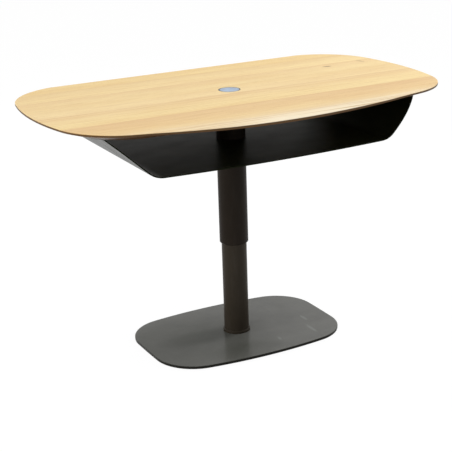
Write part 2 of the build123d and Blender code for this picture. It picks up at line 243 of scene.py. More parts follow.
class HardwareSettings(bpy.types.PropertyGroup):
    """Sizes of the screws, the weld and the spring."""

    wood_head: length_setting("Wood screw head", "Radius of a wood screw's pan head", 4.6)
    wood_head_height: length_setting("Wood screw head height", "Height of a wood screw's pan head", 2.8)
    wood_core: length_setting("Wood screw core", "Radius under a wood screw's thread", 1.6)
    wood_thread: length_setting("Wood screw thread", "Height of a wood screw's thread", 0.62)
    wood_pitch: length_setting("Wood screw pitch", "Distance between two turns of a wood screw's thread", 2.0)
    machine_head: length_setting("Base screw head", "Radius of a base screw's countersunk head", 7.6)
    machine_core: length_setting("Base screw core", "Radius under a base screw's thread", 3.4)
    machine_thread: length_setting("Base screw thread", "Height of a base screw's thread", 0.58)
    machine_pitch: length_setting("Base screw pitch", "Distance between two turns of its thread", 1.25)
    bead: length_setting("Bead", "Radius of the weld bead round the column", 2.6)
    ripple: length_setting("Ripple", "Distance between two ripples of the weld bead", 2.4)
    wire: length_setting("Wire", "Radius of the spring's wire", 0.75)
    coil: length_setting("Coil", "Radius of the spring's coil at the middle of its wire", 10.9)


class StageSettings(bpy.types.PropertyGroup):
    """Camera and light of the studio."""

    backdrop: colour_setting("Backdrop", "Floor and background", "#FFFFFF")
    azimuth: angle_setting("Azimuth", "Way round the table", -27.3)
    elevation: angle_setting("Elevation", "Height of view", 18.44)
    roll: angle_setting("Roll", "Tilt of the camera", -1.78)
    distance: length_setting("Distance", "From the camera to the middle of the view", 3456.1)
    target_height: length_setting("Target height", "Height that the camera looks at", 318.1)
    focal_pixels: pixel_setting("Focal length", "In pixels of the picture", 1241.7)
    centre_row: pixel_setting("Centre row", "Row that the lens points at", 226.5)
    centre_column: pixel_setting("Centre column", "Column that the lens points at", 233.6)
    key_power: power_setting("Key light", "Power of the large soft light", 30)
    sheen_power: power_setting("Sheen light", "Power of the light in the rolled edge", 26)
    right_power: power_setting("Right light", "Power of the low light on the right", 15)
    left_power: power_setting("Left light", "Power of the low light on the left", 42)
    ambient: share_setting("Ambient", "Strength of the light from all round", 0.55)
    shadow: share_setting("Shadow", "How much of the floor's shadow the camera sees", 0.1)


class TableSettings(bpy.types.PropertyGroup):
    """All settings of the coffee table."""

    board: PointerProperty(type=BoardSettings, name="Board", description="Grain of the oak board")
    coats: PointerProperty(type=CoatSettings, name="Coats", description="Colours of the metal")
    hardware: PointerProperty(type=HardwareSettings, name="Hardware", description="Sizes of the small parts")
    stage: PointerProperty(type=StageSettings, name="Stage", description="Camera and light")


def add_node(tree, kind, inputs=None, stops=(), **settings):
    """Add a shader node with its settings and links, and its stops where it is a colour ramp.

    An input is a value, an output to link, or a node whose first live output is linked. A stop is a place and
    a linear colour.
    """
    node = tree.nodes.new("ShaderNode" + kind)
    for name, value in settings.items():
        setattr(node, name, value)
    for name, value in (inputs or {}).items():
        if isinstance(value, bpy.types.Node):
            value = next(output for output in value.outputs if output.enabled)
        if isinstance(value, bpy.types.NodeSocket):
            tree.links.new(value, node.inputs[name])
        else:
            node.inputs[name].default_value = value
    if stops:
        elements = node.color_ramp.elements
        elements[0].position, elements[0].color = stops[0]
        elements[1].position, elements[1].color = stops[-1]
        for place, shade in stops[1:-1]:
            elements.new(place).color = shade
    return node


def new_material(name):
    """Empty node material, and the tree that its nodes go in."""
    material = bpy.data.materials.new(name)
    material.use_nodes = True
    material.node_tree.nodes.clear()
    return material, material.node_tree


def solid_material(name):
    """Empty node material, its tree, and the place on the object in metres."""
    material, tree = new_material(name)
    return material, tree, add_node(tree, "TexCoord").outputs["Object"]


def finish_surface(tree, tone, rough, height, bump, constants):
    """Output of an opaque surface: tone, roughness, small bumps and the shader's constants.

    A bump is its strength and its depth in mm.
    """
    strength, depth = bump
    normal = add_node(tree, "Bump", {"Height": height, "Strength": strength, "Distance": depth * MM})
    shader = add_node(
        tree, "BsdfPrincipled", {"Base Color": tone, "Roughness": rough, "Normal": normal, **constants},
    )
    add_node(tree, "OutputMaterial", {"Surface": shader})


def layered(tree, tone, layers):
    """Blend layers over a tone in turn: a layer is a blend mode, a mask, the mask's share and a colour.

    Inputs 6 and 7 of a mix node are its two colours.
    """
    for mode, mask, share, over in layers:
        factor = add_node(tree, "Math", {0: mask, 1: share}, operation="MULTIPLY")
        tone = add_node(tree, "Mix", {0: factor, 6: tone, 7: over}, data_type="RGBA", blend_type=mode)
    return tone


def stretched_noise(tree, point, sizes, detail=2.0):
    """Noise whose blobs have the given sizes in metres along X, Y and Z; detail counts its finer octaves."""
    scaled = add_node(tree, "Mapping", {"Vector": point, "Scale": [1 / size for size in sizes]})
    return add_node(tree, "TexNoise", {"Vector": scaled, "Scale": 1.0, "Detail": detail})


def surface_tilt(tree):
    """Z of the surface's normal: 1 faces up, 0 stands upright and -1 faces down."""
    normal = add_node(tree, "NewGeometry").outputs["Normal"]
    return add_node(tree, "SeparateXYZ", {"Vector": normal}).outputs["Z"]


def reach_from(tree, point, place, half_sizes):
    """Distance from a place in the plan, in half axes of an ellipse."""
    offset = add_node(tree, "VectorMath", {0: point, 1: (*place, 0)}, operation="SUBTRACT")
    stretch = (1 / half_sizes[0], 1 / half_sizes[1], 0)
    scaled = add_node(tree, "VectorMath", {0: offset, 1: stretch}, operation="MULTIPLY")
    return add_node(tree, "VectorMath", {0: scaled}, operation="LENGTH")


def frayed_spot(tree, reach, noise, fray):
    """One in the middle of an ellipse, falling softly to nothing round its outline, which noise frays."""
    ragged = add_node(tree, "Math", {0: noise, 1: fray, 2: reach}, operation="MULTIPLY_ADD")
    limits = {"Value": ragged, "From Min": SPOT_GONE + fray / 2, "From Max": SPOT_FULL + fray / 2}
    return add_node(tree, "MapRange", limits, interpolation_type="SMOOTHSTEP")


def board_share(place):
    """Place across the board in mm, as a share from the front edge to the back edge."""
    return (place + BOARD_BACK_MM) / (2 * BOARD_BACK_MM)


def plank_tones(tree, across):
    """Tone of each plank, lighter towards its front edge, with a crisp step at each glue line."""
    stops = []
    back = BOARD_BACK_MM
    for front, front_tone, back_tone in PLANKS:
        stops.append((board_share(back - SEAM_MM), colour(back_tone)))
        stops.append((board_share((2 * front + back) / 3), colour(front_tone)))
        stops.append((board_share(front), colour(front_tone)))
        back = front
    return add_node(tree, "ValToRGB", {"Fac": across}, stops[::-1])


def plank_numbers(tree, across):
    """A number from 0 to 1 that is the same all over a plank."""
    fronts = [front for front, *_ in PLANKS][::-1]
    stops = [(board_share(front), grey((index + 1) / len(fronts))) for index, front in enumerate(fronts)]
    numbers = add_node(tree, "ValToRGB", {"Fac": across}, stops)
    numbers.color_ramp.interpolation = "CONSTANT"
    return numbers


def glue_lines(tree, across):
    """One on the glue lines between planks and nothing elsewhere."""
    stops = [(0.0, grey(0))]
    for front, *_ in PLANKS[-2::-1]:
        stops += [(board_share(front - SEAM_MM), grey(1)), (board_share(front), grey(0))]
    lines = add_node(tree, "ValToRGB", {"Fac": across}, stops)
    lines.color_ramp.interpolation = "CONSTANT"
    return lines


def painted_highlight_share(tree, parts):
    """Share of painted highlight on the front roll: towards the front edge, most of all right of its middle.

    The edge is an arc, so a point's distance from it is Y plus half the board's width, less X squared over
    the arc's diameter.
    """
    square = add_node(tree, "Math", {0: parts["X"], 1: 2}, operation="POWER")
    bow = -1 / (2 * BOARD_SIDE_RADIUS_MM * MM)
    level = add_node(tree, "Math", {0: square, 1: bow, 2: parts["Y"]}, operation="MULTIPLY_ADD")
    low, high = metres(-BOARD_BACK_MM, PAINTED_HIGHLIGHT_DEPTH_MM - BOARD_BACK_MM)
    inset = add_node(tree, "MapRange", {"Value": level, "From Min": low, "From Max": high})
    stops = greys((0.13, 1), (0.31, 0.75), (0.45, 0.25), (0.95, 0))
    inwards = add_node(tree, "ValToRGB", {"Fac": inset}, stops)
    offset = add_node(tree, "Math", {0: parts["X"], 1: PAINTED_HIGHLIGHT_MIDDLE_MM * MM}, operation="SUBTRACT")
    way = add_node(tree, "Math", {0: offset}, operation="ABSOLUTE")
    fall = -1 / (PAINTED_HIGHLIGHT_FADE_MM * MM)
    along = add_node(
        tree, "Math", {0: way, 1: fall, 2: PAINTED_HIGHLIGHT_PEAK}, operation="MULTIPLY_ADD", use_clamp=True,
    )
    return add_node(tree, "Math", {0: inwards, 1: along}, operation="MULTIPLY")


def oak(settings):
    """European oak glued from planks, planed and given a satin lacquer: all its grain runs along the board.

    The rings are cylinders round a pith below each plank, so the rolled edge and the ends cut them as in
    solid wood.
    """
    material, tree, point = solid_material("satin_lacquered_oak")
    parts = add_node(tree, "SeparateXYZ", {"Vector": point}).outputs
    front, back = metres(-BOARD_BACK_MM, BOARD_BACK_MM)
    across = add_node(tree, "MapRange", {"Value": parts["Y"], "From Min": front, "From Max": back})
    number = plank_numbers(tree, across)
    scatter = add_node(tree, "TexWhiteNoise", {"W": number}, noise_dimensions="1D").outputs["Color"]
    shift = add_node(tree, "VectorMath", {0: scatter, 1: metres(*PLANK_SHIFT_MM)}, operation="MULTIPLY")
    plank_point = add_node(tree, "VectorMath", {0: point, 1: shift}, operation="ADD")

    # The grain flows round the knot: a point takes its grain from a line nearer the knot's own, less and less
    # so as its reach grows.
    frayed = stretched_noise(tree, point, metres(14, 5, 5))
    reach = reach_from(tree, point, (settings.knot_x, settings.knot_y), metres(*KNOT_HALF_MM))
    knot = frayed_spot(tree, reach, frayed, KNOT_FRAY)
    scar_reach = reach_from(tree, point, metres(*SCAR_MM), metres(*SCAR_HALF_MM))
    scar = frayed_spot(tree, scar_reach, frayed, SCAR_FRAY)
    knot_y = add_node(tree, "Math", {0: parts["Y"], 1: settings.knot_y}, operation="SUBTRACT")
    spread = add_node(tree, "Math", {0: reach, 1: reach, 2: 1}, operation="MULTIPLY_ADD")
    flow = add_node(tree, "Math", {0: knot_y, 1: spread}, operation="DIVIDE")
    pull = add_node(tree, "CombineXYZ", {"Y": flow})
    bent_point = add_node(tree, "VectorMath", {0: plank_point, 1: pull}, operation="SUBTRACT")

    # Rings round the trunk's axis, slowly wandering along the board.
    pith = (0, -PITH_Y_MM * MM, settings.pith_depth - PITH_LEVEL_MM * MM)
    slow = (1 / RING_STRETCH, 1, 1)
    trunk = add_node(tree, "Mapping", {"Vector": bent_point, "Location": pith, "Scale": slow})
    rings = add_node(
        tree, "TexWave",
        {"Vector": trunk, "Scale": 2 * math.pi / (WAVE_RATE * settings.ring_spacing), "Distortion": 7.0,
         "Detail": 3.0, "Detail Scale": 0.35, "Detail Roughness": 0.55},
        wave_type="RINGS", rings_direction="X", wave_profile="SAW",
    ).outputs["Fac"]
    fibre_sizes = (settings.fibre_length, settings.fibre_width, settings.fibre_width)
    fibres = stretched_noise(tree, bent_point, fibre_sizes, detail=3.0)
    pore_sizes = (settings.pore_length, settings.pore_width, settings.pore_width)
    pores = stretched_noise(tree, bent_point, pore_sizes, detail=1.0)
    open_pores = add_node(tree, "MapRange", {"Value": pores, "From Min": 0.60, "From Max": 0.72})
    clouds = stretched_noise(tree, plank_point, metres(400, 50, 50))
    bands = stretched_noise(tree, bent_point, metres(400, 3.4, 3.4), detail=1.0)

    # Grain, pores and glue lines darken the planks' own tones. The knot, the scar and a painted highlight on
    # the front roll cover them, and the front roll cuts growth lines into that painted highlight.
    late_wood = add_node(tree, "ValToRGB", {"Fac": rings}, tones(
        (0.0, "#FFFFFF"), (0.62, "#FBF5EC"), (0.93, "#E4CFAF"), (1.0, "#F4E9D6"),
    ))
    dark_fibres = add_node(tree, "ValToRGB", {"Fac": fibres}, tones((0.3, "#D9BD93"), (0.55, "#FFFFFF")))
    dark_clouds = add_node(tree, "ValToRGB", {"Fac": clouds}, tones((0.3, "#E9D2AE"), (0.7, "#FFFFFF")))
    growth_lines = add_node(tree, "ValToRGB", {"Fac": bands}, tones((0.36, "#DCC8A6"), (0.45, "#FFFFFF")))
    painted_highlight = painted_highlight_share(tree, parts)
    tone = layered(tree, plank_tones(tree, across), [
        ("MULTIPLY", 1, 0.35, late_wood),
        ("MULTIPLY", 1, 0.4, dark_fibres),
        ("MULTIPLY", 1, 0.3, dark_clouds),
        ("MULTIPLY", open_pores, 0.3, colour("#B08A5C")),
        ("MULTIPLY", glue_lines(tree, across), 0.35, colour("#B89468")),
        ("MIX", knot, 0.8, tuple(settings.knot_tone)),
        ("MIX", scar, 0.28, tuple(settings.knot_tone)),
        ("MIX", painted_highlight, 0.72, tuple(settings.painted_highlight_tone)),
        ("MULTIPLY", painted_highlight, 0.8, growth_lines),
    ])

    # The narrow edge and the slope under it are stained brown and darkened further with painted shade; the
    # flat underside is painted a little darker, as painted shade.
    tilt = surface_tilt(tree)
    upright = {"Value": tilt, "From Min": 0.75, "From Max": 0.25}
    edge = add_node(tree, "MapRange", upright, interpolation_type="SMOOTHSTEP")
    leaning = {"Value": tilt, "From Min": -0.3, "From Max": -0.6}
    slope = add_node(tree, "MapRange", leaning, interpolation_type="SMOOTHSTEP")
    flat = add_node(tree, "MapRange", {"Value": tilt, "From Min": -0.995, "From Max": -0.999})
    shaded_underside = layered(tree, tone, [("MULTIPLY", 1, 0.6, colour("#A9865A"))])
    below = layered(tree, tuple(settings.edge_tone), [
        ("MIX", slope, 1, tuple(settings.undercut_tone)),
        ("MIX", flat, 1, shaded_underside),
    ])
    tone = layered(tree, tone, [("MIX", edge, 1, below)])

    hollows = add_node(tree, "Math", {0: open_pores, 1: -0.6}, operation="MULTIPLY")
    relief = add_node(tree, "Math", {0: fibres, 1: 0.5, 2: hollows}, operation="MULTIPLY_ADD")
    smoothest = settings.roughness - 0.06
    rough = add_node(tree, "Math", {0: fibres, 1: 0.12, 2: smoothest}, operation="MULTIPLY_ADD")
    finish_surface(tree, tone, rough, relief, (0.35, 0.2), {"IOR": 1.5, "Specular IOR Level": 0.35})
    return material


def powder_coat(name, tint, grit, roughness, specular=0.5, wear=0.1, edge_tint=None, thin=0.0, marks=(),
                gloss_tint=(1, 1, 1, 1)):
    """Polyester powder baked on steel: a fine pebbled skin that blurs what it mirrors, with faint streaks.

    An upright cut edge takes its own tint where one is given. Inside a tray, on the faces that look up,
    powder lies thin and the skin is rougher by the share given. Marks are soft patches: pale scuffs, and dark
    patches of painted shadow, each with its place and half sizes in mm, its share and its colour.
    """
    material, tree, point = solid_material(name)
    pebbles = stretched_noise(tree, point, (grit, grit, grit))
    clouds = stretched_noise(tree, point, metres(70, 50, 60), detail=4.0)
    wiped = stretched_noise(tree, point, metres(12, 70, 70), detail=3.0)
    streaks = add_node(tree, "MapRange", {"Value": wiped, "From Min": 0.56, "From Max": 0.74})
    dark_clouds = add_node(tree, "ValToRGB", {"Fac": clouds}, greys((0.3, 0.62), (0.7, 1)))
    dark_pebbles = add_node(tree, "ValToRGB", {"Fac": pebbles}, greys((0.35, 0.6), (0.65, 1)))
    tone = layered(tree, tuple(tint), [
        ("MULTIPLY", 1, 0.35, dark_clouds),
        ("MULTIPLY", 1, 0.3, dark_pebbles),
        ("ADD", streaks, wear, grey(0.12)),
    ])
    if marks:
        outline_noise = stretched_noise(tree, point, metres(7, 12, 7), detail=3.0)
    # Dark marks are painted shadow round the column; pale ones are scuffs.
    for x, y, half_x, half_y, share, code in marks:
        reach = reach_from(tree, point, metres(x, y), metres(half_x, half_y))
        spot = frayed_spot(tree, reach, outline_noise, min(1, FRAY_MM / half_x))
        tone = layered(tree, tone, [("MIX", spot, share, colour(code))])
    # Upright cut edges take their own tint, here near black.
    if edge_tint:
        upright = add_node(tree, "Math", {0: surface_tilt(tree)}, operation="ABSOLUTE")
        limits = {"Value": upright, "From Min": 0.9, "From Max": 0.6}
        edge = add_node(tree, "MapRange", limits, interpolation_type="SMOOTHSTEP")
        tone = layered(tree, tone, [("MIX", edge, 1, tuple(edge_tint))])
    rough = add_node(tree, "Math", {0: clouds, 1: 0.14, 2: roughness - 0.07}, operation="MULTIPLY_ADD")
    if thin:
        inside = add_node(tree, "MapRange", {"Value": surface_tilt(tree), "From Min": 0.1, "From Max": 0.4})
        rough = add_node(tree, "Math", {0: inside, 1: thin, 2: rough}, operation="MULTIPLY_ADD")
    finish_surface(tree, tone, rough, pebbles, (0.25, 0.1), {
        "IOR": 1.5, "Specular IOR Level": specular, "Specular Tint": gloss_tint,
    })
    return material


def brushed_metal(name, tint, line_width, roughness, anisotropy=0.5):
    """Steel or aluminium drawn under a belt: fine lines along X, which stretch the highlight across them.

    The lines are coarser than real so that they show. Fingers leave cloudy smudges, a little darker than the
    clean metal.
    """
    material, tree, point = solid_material(name)
    length = BRUSH_STRETCH * line_width
    lines = stretched_noise(tree, point, (length, line_width, length), detail=3.0)
    smudges = stretched_noise(tree, point, metres(26, 15, 15), detail=1.0)
    dark_lines = add_node(tree, "ValToRGB", {"Fac": lines}, greys((0.3, 0.55), (0.7, 1)))
    dark_smudges = add_node(tree, "ValToRGB", {"Fac": smudges}, tones((0.3, "#8C97A6"), (0.65, "#FFFFFF")))
    tone = layered(tree, tuple(tint), [
        ("MULTIPLY", 1, 0.5, dark_lines),
        ("MULTIPLY", 1, 0.5, dark_smudges),
    ])
    rough = add_node(tree, "Math", {0: lines, 1: 0.16, 2: roughness - 0.08}, operation="MULTIPLY_ADD")
    finish_surface(tree, tone, rough, lines, (0.2, 0.05), {"Metallic": 1.0, "Anisotropic": anisotropy})
    return material


def bright_steel(name, tint, roughness):
    """Turned or drawn steel, mostly under zinc or chrome: bright, with faint tool rings and a cloudy film.

    The rings are coarser than real so that they show.
    """
    material, tree, point = solid_material(name)
    rings = stretched_noise(tree, point, metres(30, 30, 0.4))
    clouds = stretched_noise(tree, point, metres(6, 6, 6), detail=3.0)
    dark_clouds = add_node(tree, "ValToRGB", {"Fac": clouds}, tones((0.3, "#B9B7A6"), (0.7, "#FFFFFF")))
    tone = layered(tree, colour(tint), [("MULTIPLY", 1, 0.4, dark_clouds)])
    rough = add_node(tree, "Math", {0: clouds, 1: 0.15, 2: roughness - 0.07}, operation="MULTIPLY_ADD")
    finish_surface(tree, tone, rough, rings, (0.15, 0.05), {"Metallic": 1.0})
    return material


def moulded_plastic(name, tint, roughness, grain=0.6):
    """Injection-moulded plastic or rubber: one colour all through, with the spark-eroded grain of its mould.

    The grain's size is in mm, coarser than real so that it shows.
    """
    material, tree, point = solid_material(name)
    pits = stretched_noise(tree, point, metres(grain, grain, grain), detail=1.0)
    dark_pits = add_node(tree, "ValToRGB", {"Fac": pits}, greys((0.35, 0.6), (0.65, 1)))
    tone = layered(tree, colour(tint), [("MULTIPLY", 1, 0.3, dark_pits)])
    rough = add_node(tree, "Math", {0: pits, 1: 0.1, 2: roughness - 0.05}, operation="MULTIPLY_ADD")
    finish_surface(tree, tone, rough, pits, (0.3, 0.1), {"IOR": 1.47})
    return material


def dress(material, *names):
    """Give frame nodes their material in every slot."""
    for name in names:
        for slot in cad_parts[name].material_slots:
            slot.material = material


def settings_of(context):
    """The table's settings in the scene."""
    return context.scene.coffee_table


def ring_faces(rings, sides, joined=False):
    """Quads between neighbouring rings of points; joined also links the last ring to the first."""
    ring, side = np.meshgrid(np.arange(rings if joined else rings - 1), np.arange(sides), indexing="ij")
    after = (side + 1) % sides
    here, above = ring * sides, (ring + 1) % rings * sides
    return np.stack([here + side, here + after, above + after, above + side], -1).reshape(-1, 4)


def closed_shell(rings):
    """Points and faces of rings carried along a path, each end closed by a fan on the middle of its ring."""
    count, sides, _ = rings.shape
    points = np.concatenate([rings.reshape(-1, 3), rings[:1].mean(1), rings[-1:].mean(1)])
    side = np.arange(sides)
    after = (side + 1) % sides
    first, last = count * sides, (count - 1) * sides
    low = np.stack([np.full(sides, first), after, side], -1)
    high = np.stack([last + side, last + after, np.full(sides, first + 1)], -1)
    return points, ring_faces(count, sides).tolist() + low.tolist() + high.tolist()


def repeated(points, faces, places):
    """The same shape at several places."""
    moved = (points[None] + np.array(places)[:, None]).reshape(-1, 3)
    step = len(points)
    return moved, [[corner + step * copy for corner in face] for copy in range(len(places)) for face in faces]


def add_piece(name, points, faces, body, slot, material):
    """Object with a smooth mesh and crisp edges that rides on a body of the frame."""
    mesh = bpy.data.meshes.new(name)
    mesh.from_pydata(points.tolist(), [], faces)
    mesh.polygons.foreach_set("use_smooth", np.ones(len(mesh.polygons), bool))
    mesh.set_sharp_from_angle(angle=math.radians(CREASE_DEGREES))
    mesh.materials.append(material)
    piece = bpy.data.objects.new(name, mesh)
    bpy.context.scene.collection.objects.link(piece)
    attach(piece, body)
    return piece


def threaded(profile, recess, thread, pitch, sides=36):
    """Rings of a screw that stands on its head.

    A row of the profile holds a radius, a height, how far the ring follows the recess's outline and how much
    thread it carries. The radius at an angle is the row's radius times the recess's outline there, plus the
    thread's height times a ridge that climbs by one pitch in each turn round the axis.
    """
    radius, height, follow, share = np.array(profile).T[:, :, None]
    angle = np.arange(sides) * 2 * np.pi / sides
    outline = 1 + follow * (recess(angle) - 1)
    turn = (height / pitch - angle / (2 * np.pi)) % 1
    ridge = np.clip(1 - np.abs(turn - 0.5) / RIDGE_HALF, 0, 1)
    reach = radius * outline + share * thread * ridge
    return np.stack([reach * np.cos(angle), reach * np.sin(angle), height + 0 * angle], -1)


def thread_rows(core, low, high, pitch, step):
    """Profile rows of a thread from low to high, a step of turns apart, that grows over its first turn."""
    climb = np.arange(low, high, step * pitch)
    fade_in = np.clip((climb - climb[0]) / pitch, 0, 1)
    return np.stack([0 * climb + core, climb, 0 * climb, fade_in], -1).tolist()


def star(angle, points=6, swell=0.13):
    """Outline of a star recess: a circle that swells once for each point on its way round."""
    return 1 + swell * np.cos(points * angle)


def hexagon(angle):
    """Outline of a hexagon socket: one over the cosine of the angle to the middle of the nearest side."""
    return 1 / np.cos((angle + np.pi / 6) % (np.pi / 3) - np.pi / 6)


def wood_screw(sizes, tip):
    """Pan-head wood screw with a star recess, a plain neck, a coarse thread and a sharp point.

    The dome's radius follows the sine of a bend from 0 to 90 degrees, and its height one less the cosine. The
    head's rows are shares of its radius and height, and the thread ends in a straight point.
    """
    head, deep, core, pitch = sizes.wood_head, sizes.wood_head_height, sizes.wood_core, sizes.wood_pitch
    bend = np.linspace(0, np.pi / 2, 9)
    dome_radius = 0.68 * head + 0.32 * head * np.sin(bend)
    dome_height = 0.55 * deep * (1 - np.cos(bend))
    face = [
        (0.18 * head, 0.6 * deep, 1, 0), (0.34 * head, 0.6 * deep, 1, 0), (0.37 * head, 0.06 * deep, 1, 0),
        (0.40 * head, 0, 0.8, 0), (0.5 * head, 0, 0, 0),
    ]
    dome = np.stack([dome_radius, dome_height, 0 * bend, 0 * bend], -1).tolist()
    collar = [(head, 0.96 * deep, 0, 0), (0.98 * head, deep, 0, 0), (1.1 * core, deep, 0, 0)]
    threads = thread_rows(core, deep + 0.2 * pitch, tip - 1.6 * pitch, pitch, 0.1)
    point = np.linspace(0.06, 0.97, 14)
    thread_end = threads[-1][1]
    point_height = thread_end + point * (tip - thread_end)
    points = np.stack([core * (1 - point), point_height, 0 * point, 1 - point], -1).tolist()
    return closed_shell(threaded(face + dome + collar + threads + points, star, sizes.wood_thread, pitch))


def base_screw(sizes, length):
    """Countersunk machine screw with a hexagon socket, a fine thread and a small bevel at its end.

    The head is a cone of 45 degrees, so its height is its radius less the thread's. Its rows are shares of
    the two.
    """
    head, core, pitch = sizes.machine_head, sizes.machine_core, sizes.machine_pitch
    neck = head - core - sizes.machine_thread
    face = [
        (0.1 * head, 0.7 * neck, 1, 0), (0.32 * head, 0.7 * neck, 1, 0), (0.33 * head, 0.05 * neck, 1, 0),
        (0.36 * head, 0, 0.9, 0), (0.5 * head, 0, 0, 0), (0.96 * head, 0, 0, 0), (head, 0.08 * neck, 0, 0),
        (core, 1.08 * neck, 0, 0),
    ]
    threads = thread_rows(core, 1.15 * neck, length - 0.6 * pitch, pitch, 0.125)
    end = [(core, length - 0.4 * pitch, 0, 0), (0.88 * core, length, 0, 0), (0.4 * core, length, 0, 0)]
    return closed_shell(threaded(face + threads + end, hexagon, sizes.machine_thread, pitch))


def weld_bead(sizes, tube, height, steps=6, sides=14):
    """Fillet weld round the column: a circle carried round the corner of the tube and the plate over it.

    The circle's radius swells and shrinks like a row of half-set coins, one for each ripple, and each coin
    leans back because its phase also turns with the place on the circle. A slower swell comes seven times.
    """
    ripples = round(2 * math.pi * tube / sizes.ripple)
    way = np.arange(ripples * steps) * 2 * np.pi / (ripples * steps)
    turn = np.arange(sides) * 2 * np.pi / sides
    way, turn = np.meshgrid(way, turn, indexing="ij")
    swell = 1 + 0.07 * np.sin(ripples * way + 0.9 * np.cos(turn)) + 0.03 * np.sin(7 * way)
    sink = 0.35 * sizes.bead
    reach = tube + sink + sizes.bead * swell * np.cos(turn)
    rise = height - sink + sizes.bead * swell * np.sin(turn)
    rings = np.stack([reach * np.cos(way), reach * np.sin(way), rise], -1)
    return rings.reshape(-1, 3), ring_faces(*way.shape, joined=True)[:, ::-1].tolist()


def coil_spring(sizes, low, high, turns=3.5, flat=0.6, steps=170, sides=10):
    """Spring of round wire: a circle carried up a helix whose ends lie flat for part of a turn.

    Between them it climbs by a smooth step, three times the square less twice the cube of the way.
    """
    way = np.linspace(0, 1, steps)
    climb = np.clip((way * turns - flat) / (turns - 2 * flat), 0, 1)
    climb = climb * climb * (3 - 2 * climb)
    middle = low + sizes.wire + climb * (high - low - 2 * sizes.wire)
    angle = 2 * np.pi * turns * way
    turn = -np.arange(sides) * 2 * np.pi / sides
    reach = sizes.coil + sizes.wire * np.cos(turn)
    rings = np.stack([
        reach * np.cos(angle)[:, None], reach * np.sin(angle)[:, None],
        middle[:, None] + sizes.wire * np.sin(turn),
    ], -1)
    return closed_shell(rings)


class TABLE_OT_board(bpy.types.Operator):
    """Oak board on the mounting plate"""

    bl_idname = "coffee_table.board"
    bl_label = "Oak board"

    def execute(self, context):
        dress(oak(settings_of(context).board), "tabletop")
        return {"FINISHED"}


class TABLE_OT_button(bpy.types.Operator):
    """Release button with its bezel, stem, spring and valve pin"""

    bl_idname = "coffee_table.button"
    bl_label = "Release button"

    def execute(self, context):
        coats = settings_of(context).coats
        steel = brushed_metal("brushed_stainless_steel", coats.button, line_width=0.5 * MM, roughness=0.3)
        rim = brushed_metal(
            "dark_anodised_aluminium", coats.rim, line_width=0.3 * MM, roughness=0.35, anisotropy=0.2,
        )
        dress(steel, "release_button")
        dress(rim, "button_bezel")
        low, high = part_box("button_spring")
        wire = bright_steel("spring_steel", "#8C8F92", roughness=0.3)
        shape = coil_spring(settings_of(context).hardware, low[2], high[2])
        spring = add_piece("round_wire_spring", *shape, "board", "spring_steel", wire)
        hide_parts("button_spring")
        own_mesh(spring)
        dress(wire, "button_spring")
        dress(bright_steel("turned_zinc_plate", "#B9BDC0", roughness=0.35), "button_stem", "release_pin")
        return {"FINISHED"}


class TABLE_OT_tray(bpy.types.Operator):
    """Bent steel tray under the board"""

    bl_idname = "coffee_table.tray"
    bl_label = "Tray"

    def execute(self, context):
        coats = settings_of(context).coats
        black = powder_coat(
            "black_powder_coat", coats.tray, coats.grit, roughness=0.26, specular=0.022, wear=0.01, thin=0.16,
            gloss_tint=tuple(coats.tray_gloss),
        )
        dress(black, "tray", "mounting_plate")
        return {"FINISHED"}


class TABLE_OT_column(bpy.types.Operator):
    """Telescopic column with its bushes, guide key and foot ring"""

    bl_idname = "coffee_table.column"
    bl_label = "Column"

    def execute(self, context):
        coats = settings_of(context).coats
        umber = powder_coat(
            "umber_powder_coat", coats.upper_tube, coats.grit, roughness=0.42, specular=0.06, wear=0.02,
        )
        bronze = powder_coat(
            "bronze_powder_coat", coats.lower_tube, coats.grit, roughness=0.42, specular=0.07, wear=0.04,
        )
        dress(umber, "outer_tube", "lower_bush")
        dress(bronze, "inner_tube", "foot_ring")
        dress(moulded_plastic("black_acetal", "#1A1A1A", roughness=0.35), "upper_bush")
        dress(bright_steel("zinc_plated_key_steel", "#8F9294", roughness=0.4), "guide_key")
        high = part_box("outer_tube")[1]
        seam = weld_bead(settings_of(context).hardware, high[0], high[2])
        plate_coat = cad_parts["mounting_plate"].material_slots[0].material
        add_piece("column_weld", *seam, "board", "black_steel", plate_coat)
        return {"FINISHED"}


class TABLE_OT_base(bpy.types.Operator):
    """Base plate with its glides and foot plug"""

    bl_idname = "coffee_table.base"
    bl_label = "Base"

    def execute(self, context):
        coats = settings_of(context).coats
        coat = powder_coat(
            "grey_powder_coat", coats.base, coats.grit, roughness=0.24, specular=0.06, wear=0.05,
            edge_tint=coats.base_edge, marks=BASE_SHADOWS_AND_SCUFFS,
        )
        dress(coat, "base_plate")
        dress(moulded_plastic("black_rubber", "#1C1B1A", roughness=0.8, grain=1.0), "base_glides")
        dress(bright_steel("zinc_plated_plug_steel", "#9EA1A3", roughness=0.4), "foot_plug")
        return {"FINISHED"}


